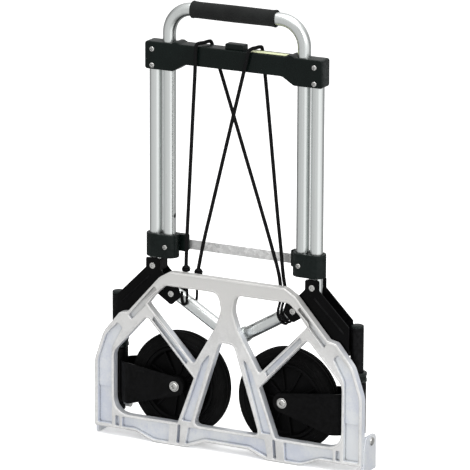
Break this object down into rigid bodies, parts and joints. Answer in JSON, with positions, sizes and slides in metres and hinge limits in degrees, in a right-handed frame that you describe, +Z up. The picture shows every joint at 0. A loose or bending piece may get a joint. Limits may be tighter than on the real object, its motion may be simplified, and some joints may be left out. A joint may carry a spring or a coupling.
{
  "type": "folding luggage cart",
  "caption": "Folding luggage cart with a telescopic tube handle, fold-down cast toe plate, swing-out wheels and stretched bungee cords.",
  "frame": {"origin": "on the ground under the middle of the folded cart", "axes": "+Z up along the tubes, +X across the cart, +Y to the side the load leans on; the folded toe plate is on the -Y side"},
  "size_m": [0.4978, 0.064, 0.7415],
  "materials": {
    "black_plastic": "fine moulded grain",
    "zinc_fasteners": "bright zinc plate",
    "label": "plain pale strip",
    "anodised_tube": "satin anodised",
    "black_steel": "black powder coat",
    "spring_steel": "drawn wire",
    "cord": "braided sleeve",
    "foam": "closed-cell foam",
    "galvanised_strip": "dull grey",
    "cast_aluminium": "as cast, polished edges",
    "tyre": "solid rubber",
    "wheel_plastic": "moulded"
  },
  "bodies": {
    "frame": {"crossbar_front_shell": "black_plastic", "crossbar_rear_shell": "black_plastic", "crossbar_screw_1": "zinc_fasteners", "crossbar_screw_2": "zinc_fasteners", "crossbar_screw_3": "zinc_fasteners", "crossbar_screw_4": "zinc_fasteners", "label_strip": "label", "frame_tube_left": "anodised_tube", "frame_tube_right": "anodised_tube", "side_bracket_left": "black_steel", "side_bracket_right": "black_steel", "bracket_bolt_left": "zinc_fasteners", "bracket_bolt_right": "zinc_fasteners", "brace_bolt_left": "zinc_fasteners", "brace_bolt_right": "zinc_fasteners", "brace_tube_left": "anodised_tube", "brace_tube_right": "anodised_tube", "brace_joint": "anodised_tube", "post_left": "black_steel", "post_right": "black_steel", "post_cap_left": "black_plastic", "post_cap_right": "black_plastic", "post_collar_left": "black_plastic", "post_collar_right": "black_plastic", "toe_pin_left": "zinc_fasteners", "toe_pin_right": "zinc_fasteners", "lock_spring_left": "spring_steel", "lock_spring_right": "spring_steel", "button_spring": "spring_steel", "bungee_cord_left": "cord", "bungee_cord_right": "cord", "bungee_hook_1": "black_steel", "bungee_hook_2": "black_steel", "bungee_hook_3": "black_steel", "bungee_hook_4": "black_steel"},
    "handle": {"handle_tube": "anodised_tube", "foam_grip": "foam", "slide_collar_left": "black_plastic", "slide_collar_right": "black_plastic", "collar_screw_left": "zinc_fasteners", "collar_screw_right": "zinc_fasteners", "tie_strip": "galvanised_strip", "strip_rivet_left": "zinc_fasteners", "strip_rivet_right": "zinc_fasteners"},
    "button": {"release_button": "black_plastic"},
    "pin_left": {"lock_pin_left": "zinc_fasteners"},
    "pin_right": {"lock_pin_right": "zinc_fasteners"},
    "toe": {"toe_plate": "cast_aluminium"},
    "fork_left": {"wheel_fork_left": "black_steel", "axle_bolt_left": "zinc_fasteners", "axle_nut_left": "zinc_fasteners"},
    "fork_right": {"wheel_fork_right": "black_steel", "axle_bolt_right": "zinc_fasteners", "axle_nut_right": "zinc_fasteners"},
    "wheel_left": {"tyre_left": "tyre", "wheel_rim_left": "wheel_plastic"},
    "wheel_right": {"tyre_right": "tyre", "wheel_rim_right": "wheel_plastic"}
  },
  "joints": [
    {"name": "handle_slide", "type": "slide", "parent": "frame", "child": "handle", "axis": [0, 0, 1], "range_m": [0, 0.272]},
    {"name": "button_press", "type": "slide", "parent": "frame", "child": "button", "axis": [0, 0, -1], "range_m": [0, 0.005], "stiffness_N_per_m": 400, "deforming": ["button_spring"]},
    {"name": "lock_pin_left_slide", "type": "slide", "parent": "frame", "child": "pin_left", "axis": [1, 0, 0], "range_m": [0, 0.005]},
    {"name": "lock_pin_right_slide", "type": "slide", "parent": "frame", "child": "pin_right", "axis": [-1, 0, 0], "range_m": [0, 0.005]},
    {"name": "toe_plate_fold", "type": "hinge", "parent": "frame", "child": "toe", "pos_m": [0, 0.004, 0.049], "axis": [1, 0, 0], "range_deg": [0, 90]},
    {"name": "fork_left_swing", "type": "hinge", "parent": "frame", "child": "fork_left", "pos_m": [-0.2185, 0.004, 0.1], "axis": [0, 0, 1], "range_deg": [0, 90]},
    {"name": "fork_right_swing", "type": "hinge", "parent": "frame", "child": "fork_right", "pos_m": [0.2185, 0.004, 0.1], "axis": [0, 0, -1], "range_deg": [0, 90]},
    {"name": "wheel_left_spin", "type": "hinge", "parent": "fork_left", "child": "wheel_left", "pos_m": [-0.0988, 0, 0.0996], "axis": [0, 1, 0], "continuous": true},
    {"name": "wheel_right_spin", "type": "hinge", "parent": "fork_right", "child": "wheel_right", "pos_m": [0.0988, 0, 0.0996], "axis": [0, 1, 0], "continuous": true}
  ],
  "couplings": [
    {"joint": "lock_pin_left_slide", "follows": "button_press", "ratio": 1},
    {"joint": "lock_pin_right_slide", "follows": "button_press", "ratio": 1},
    {"joint": "fork_left_swing", "follows": "toe_plate_fold", "ratio": 1},
    {"joint": "fork_right_swing", "follows": "toe_plate_fold", "ratio": 1}
  ]
}
